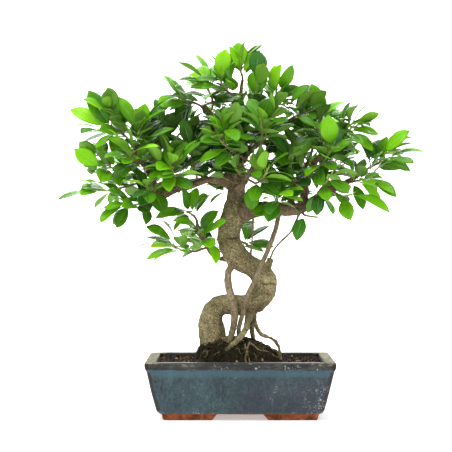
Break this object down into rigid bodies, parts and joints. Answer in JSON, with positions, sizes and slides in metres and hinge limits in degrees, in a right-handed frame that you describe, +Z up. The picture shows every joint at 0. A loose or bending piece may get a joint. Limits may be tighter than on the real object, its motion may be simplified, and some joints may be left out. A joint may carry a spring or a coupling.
{
  "type": "potted ficus bonsai",
  "caption": "Small indoor tree with a winding trunk, aerial roots and glossy oval leaves, growing in a low rectangular glazed pot on corner feet.",
  "frame": {"origin": "on the ground, under the middle of the pot, which is also the middle of the crown's width and depth", "axes": "+X along the pot's length, +Y from the front face to the back face, +Z up"},
  "size_m": [0.5551, 0.2638, 0.5633],
  "materials": {
    "root_bark": "matte",
    "branch_bark": "matte",
    "black_net": "matte",
    "glazed_stoneware": "satin",
    "leaves_and_twig": "satin",
    "potting_soil": "matte",
    "trunk_bark": "matte"
  },
  "bodies": {
    "root": {"aerial_root_left": "root_bark", "aerial_root_right": "root_bark", "aerial_root_thin_centre": "root_bark", "aerial_root_thin_right": "root_bark", "branch_back": "branch_bark", "branch_front": "branch_bark", "branch_left": "branch_bark", "branch_left_back": "branch_bark", "branch_left_rise": "branch_bark", "branch_low_left": "branch_bark", "branch_right": "branch_bark", "branch_right_back": "branch_bark", "branch_right_rise": "branch_bark", "branch_upper_left": "branch_bark", "branch_upper_right": "branch_bark", "drain_net_left": "black_net", "drain_net_right": "black_net", "pot": "glazed_stoneware", "shoot_centre_back": "leaves_and_twig", "shoot_centre_front": "leaves_and_twig", "shoot_centre_front_low": "leaves_and_twig", "shoot_left_back": "leaves_and_twig", "shoot_left_back_outer": "leaves_and_twig", "shoot_left_crown_back": "leaves_and_twig", "shoot_left_front": "leaves_and_twig", "shoot_left_front_low": "leaves_and_twig", "shoot_left_front_outer": "leaves_and_twig", "shoot_left_high": "leaves_and_twig", "shoot_left_inner": "leaves_and_twig", "shoot_left_middle": "leaves_and_twig", "shoot_left_reach": "leaves_and_twig", "shoot_left_top": "leaves_and_twig", "shoot_left_top_outer": "leaves_and_twig", "shoot_left_under": "leaves_and_twig", "shoot_low_left": "leaves_and_twig", "shoot_low_left_inner": "leaves_and_twig", "shoot_low_left_outer": "leaves_and_twig", "shoot_right_back": "leaves_and_twig", "shoot_right_back_outer": "leaves_and_twig", "shoot_right_crown": "leaves_and_twig", "shoot_right_droop": "leaves_and_twig", "shoot_right_front": "leaves_and_twig", "shoot_right_front_low": "leaves_and_twig", "shoot_right_front_outer": "leaves_and_twig", "shoot_right_hanging": "leaves_and_twig", "shoot_right_low": "leaves_and_twig", "shoot_right_middle": "leaves_and_twig", "shoot_right_outer": "leaves_and_twig", "shoot_right_reach": "leaves_and_twig", "shoot_right_top": "leaves_and_twig", "shoot_top": "leaves_and_twig", "shoot_top_back": "leaves_and_twig", "shoot_top_front": "leaves_and_twig", "shoot_top_left": "leaves_and_twig", "shoot_top_left_outer": "leaves_and_twig", "shoot_top_left_tip": "leaves_and_twig", "shoot_top_right": "leaves_and_twig", "shoot_top_right_tip": "leaves_and_twig", "soil": "potting_soil", "trunk": "trunk_bark"}
  },
  "joints": []
}
